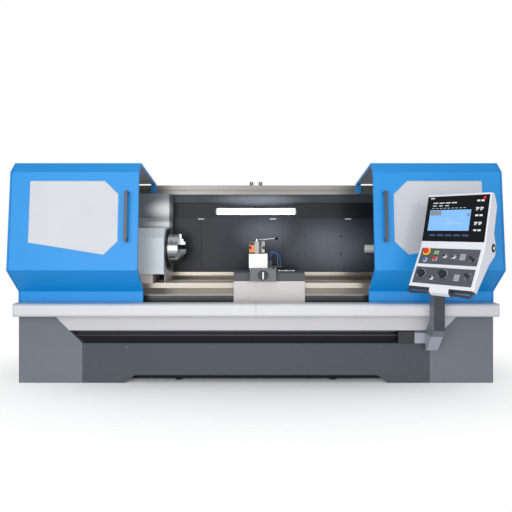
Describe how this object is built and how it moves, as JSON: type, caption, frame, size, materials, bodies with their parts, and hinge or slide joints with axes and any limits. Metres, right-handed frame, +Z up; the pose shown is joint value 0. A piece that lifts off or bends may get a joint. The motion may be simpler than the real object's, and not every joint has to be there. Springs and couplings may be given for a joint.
{
  "type": "cnc turning lathe",
  "caption": "Long flat-bed turning lathe with a three-jaw chuck, carriage and tailstock behind two sliding sheet-metal doors, and a tilting control pendant on a swivel arm.",
  "frame": {"origin": "on the floor under the spindle axis, midway along the machine", "axes": "+X from the headstock to the tailstock, +Y back from the operator, +Z up"},
  "size_m": [3.8, 1.7691, 1.7511],
  "materials": {
    "blue_paint": "satin powder coat",
    "light_grey_paint": "satin powder coat",
    "dark_grey_paint": "fine textured powder coat",
    "cabinet_grey_paint": "satin powder coat",
    "cast_paint": "painted iron casting",
    "bed_iron": "ground ways over painted iron",
    "stainless_sheet": "brushed",
    "ground_steel": "ground",
    "bright_steel": "polished",
    "black_steel": "blackened",
    "rail_aluminium": "drawn",
    "clear_pane": "clear polycarbonate",
    "screen_glass": "glossy",
    "lamp_glass": "frosted",
    "pendant_white": "fine matte",
    "black_plastic": "matte",
    "red_plastic": "gloss",
    "green_plastic": "gloss",
    "blue_plastic": "gloss",
    "hose_plastic": "gloss",
    "orange_paint": "gloss",
    "belt_rubber": "matte"
  },
  "bodies": {
    "machine": {"bed": "bed_iron", "left_plinth": "dark_grey_paint", "right_plinth": "dark_grey_paint", "base_frame": "dark_grey_paint", "front_panel": "dark_grey_paint", "front_rail": "light_grey_paint", "lower_fascia": "light_grey_paint", "pendant_rail": "rail_aluminium", "chip_tray": "stainless_sheet", "rear_cabinet": "cabinet_grey_paint", "rear_wall": "cabinet_grey_paint", "way_guard": "stainless_sheet", "left_end_panel": "blue_paint", "right_end_panel": "blue_paint", "door_rail": "light_grey_paint", "lamp_housing": "light_grey_paint", "lamp_tube": "lamp_glass", "headstock": "cast_paint", "headstock_cover": "light_grey_paint", "spindle_bearings": "ground_steel", "spindle_motor": "black_steel", "drive_belt": "belt_rubber"},
    "left_door": {"left_door": "blue_paint", "left_window": "clear_pane", "left_handle": "light_grey_paint"},
    "right_door": {"right_door": "blue_paint", "right_window": "clear_pane", "right_handle": "light_grey_paint"},
    "spindle": {"spindle": "ground_steel", "chuck_body": "bright_steel"},
    "chuck_jaw_1": {"chuck_jaw_1": "ground_steel"},
    "chuck_jaw_2": {"chuck_jaw_2": "ground_steel"},
    "chuck_jaw_3": {"chuck_jaw_3": "ground_steel"},
    "motor_pulley": {"motor_pulley": "ground_steel"},
    "feed_screw": {"feed_screw": "ground_steel"},
    "carriage": {"saddle": "cast_paint", "apron_cover": "light_grey_paint", "screw_bracket": "cast_paint"},
    "cross_knob": {"cross_knob": "black_plastic"},
    "cross_slide": {"cross_slide": "cast_paint", "tool_block": "ground_steel", "toolpost": "ground_steel", "left_tool_holder": "orange_paint", "right_tool_holder": "black_steel", "coolant_manifold": "black_plastic", "coolant_hoses": "hose_plastic"},
    "clamp_lever": {"clamp_lever": "bright_steel"},
    "tailstock": {"tailstock": "cast_paint"},
    "quill": {"quill": "bright_steel"},
    "pendant_arm": {"pendant_arm": "cabinet_grey_paint"},
    "pendant_neck": {"pendant_neck": "dark_grey_paint"},
    "pendant_housing": {"pendant_housing": "pendant_white", "pendant_screen": "screen_glass"},
    "stop_button": {"stop_button": "red_plastic"},
    "blue_button": {"blue_button": "blue_plastic"},
    "green_button": {"green_button": "green_plastic"},
    "red_button": {"red_button": "red_plastic"},
    "left_dial": {"left_dial": "black_plastic"},
    "right_dial": {"right_dial": "black_plastic"},
    "joystick": {"joystick": "black_plastic"}
  },
  "joints": [
    {"name": "left_door_slide", "type": "slide", "parent": "machine", "child": "left_door", "axis": [1, 0, 0], "range_m": [0, 0.895]},
    {"name": "right_door_slide", "type": "slide", "parent": "machine", "child": "right_door", "axis": [-1, 0, 0], "range_m": [0, 0.895]},
    {"name": "spindle_turn", "type": "hinge", "parent": "machine", "child": "spindle", "pos_m": [-1, 0, 1.06], "axis": [1, 0, 0], "continuous": true},
    {"name": "motor_turn", "type": "hinge", "parent": "machine", "child": "motor_pulley", "pos_m": [-1.4, 0.06, 0.722], "axis": [1, 0, 0], "continuous": true},
    {"name": "jaw_1_slide", "type": "slide", "parent": "spindle", "child": "chuck_jaw_1", "axis": [0, 0, 1], "range_m": [-0.008, 0.01]},
    {"name": "jaw_2_slide", "type": "slide", "parent": "spindle", "child": "chuck_jaw_2", "axis": [0, -0.866, -0.5], "range_m": [-0.008, 0.01]},
    {"name": "jaw_3_slide", "type": "slide", "parent": "spindle", "child": "chuck_jaw_3", "axis": [0, 0.866, -0.5], "range_m": [-0.008, 0.01]},
    {"name": "carriage_slide", "type": "slide", "parent": "machine", "child": "carriage", "axis": [1, 0, 0], "range_m": [-0.5, 0.6]},
    {"name": "feed_screw_turn", "type": "hinge", "parent": "machine", "child": "feed_screw", "pos_m": [0, 0.225, 0.675], "axis": [1, 0, 0], "continuous": true},
    {"name": "cross_slide_move", "type": "slide", "parent": "carriage", "child": "cross_slide", "axis": [0, 1, 0], "range_m": [-0.05, 0.12]},
    {"name": "cross_knob_turn", "type": "hinge", "parent": "carriage", "child": "cross_knob", "pos_m": [0.0575, -0.262, 0.854], "axis": [0, 1, 0], "continuous": true},
    {"name": "clamp_lever_turn", "type": "hinge", "parent": "cross_slide", "child": "clamp_lever", "pos_m": [0.0065, -0.065, 1.135], "axis": [0, 0, 1], "range_deg": [-70, 0]},
    {"name": "tailstock_slide", "type": "slide", "parent": "machine", "child": "tailstock", "axis": [1, 0, 0], "range_m": [-0.6, 0]},
    {"name": "quill_slide", "type": "slide", "parent": "tailstock", "child": "quill", "axis": [1, 0, 0], "range_m": [-0.15, 0]},
    {"name": "pendant_slide", "type": "slide", "parent": "machine", "child": "pendant_arm", "axis": [-1, 0, 0], "range_m": [0, 2.5]},
    {"name": "pendant_swivel", "type": "hinge", "parent": "pendant_arm", "child": "pendant_neck", "pos_m": [1.3865, -0.5155, 0.757], "axis": [0, 0, 1], "range_deg": [-30, 50]},
    {"name": "pendant_tilt", "type": "hinge", "parent": "pendant_neck", "child": "pendant_housing", "pos_m": [1.35062, -0.76228, 1.10415], "axis": [0.6428, -0.766, 0], "range_deg": [-12, 12]},
    {"name": "stop_button_push", "type": "slide", "parent": "pendant_housing", "child": "stop_button", "axis": [0.67, 0.5622, -0.4848], "range_m": [0, 0.004], "stiffness_N_per_m": 600},
    {"name": "blue_button_push", "type": "slide", "parent": "pendant_housing", "child": "blue_button", "axis": [0.67, 0.5622, -0.4848], "range_m": [0, 0.004], "stiffness_N_per_m": 300},
    {"name": "green_button_push", "type": "slide", "parent": "pendant_housing", "child": "green_button", "axis": [0.67, 0.5622, -0.4848], "range_m": [0, 0.004], "stiffness_N_per_m": 300},
    {"name": "red_button_push", "type": "slide", "parent": "pendant_housing", "child": "red_button", "axis": [0.67, 0.5622, -0.4848], "range_m": [0, 0.004], "stiffness_N_per_m": 300},
    {"name": "left_dial_turn", "type": "hinge", "parent": "pendant_housing", "child": "left_dial", "pos_m": [1.157, -0.86053, 0.92375], "axis": [-0.67, -0.5622, 0.4848], "range_deg": [-135, 135]},
    {"name": "right_dial_turn", "type": "hinge", "parent": "pendant_housing", "child": "right_dial", "pos_m": [1.26343, -0.98479, 0.92673], "axis": [-0.67, -0.5622, 0.4848], "range_deg": [-135, 135]},
    {"name": "joystick_tilt", "type": "hinge", "parent": "pendant_housing", "child": "joystick", "pos_m": [1.43352, -1.08278, 1.02341], "axis": [0.6428, -0.766, 0], "range_deg": [-12, 12], "stiffness_Nm_per_rad": 0.6}
  ],
  "couplings": [
    {"joint": "motor_turn", "follows": "spindle_turn", "ratio": 1.6667},
    {"joint": "jaw_2_slide", "follows": "jaw_1_slide", "ratio": 1},
    {"joint": "jaw_3_slide", "follows": "jaw_1_slide", "ratio": 1},
    {"joint": "feed_screw_turn", "follows": "carriage_slide", "rad_per_m": 314.16}
  ]
}
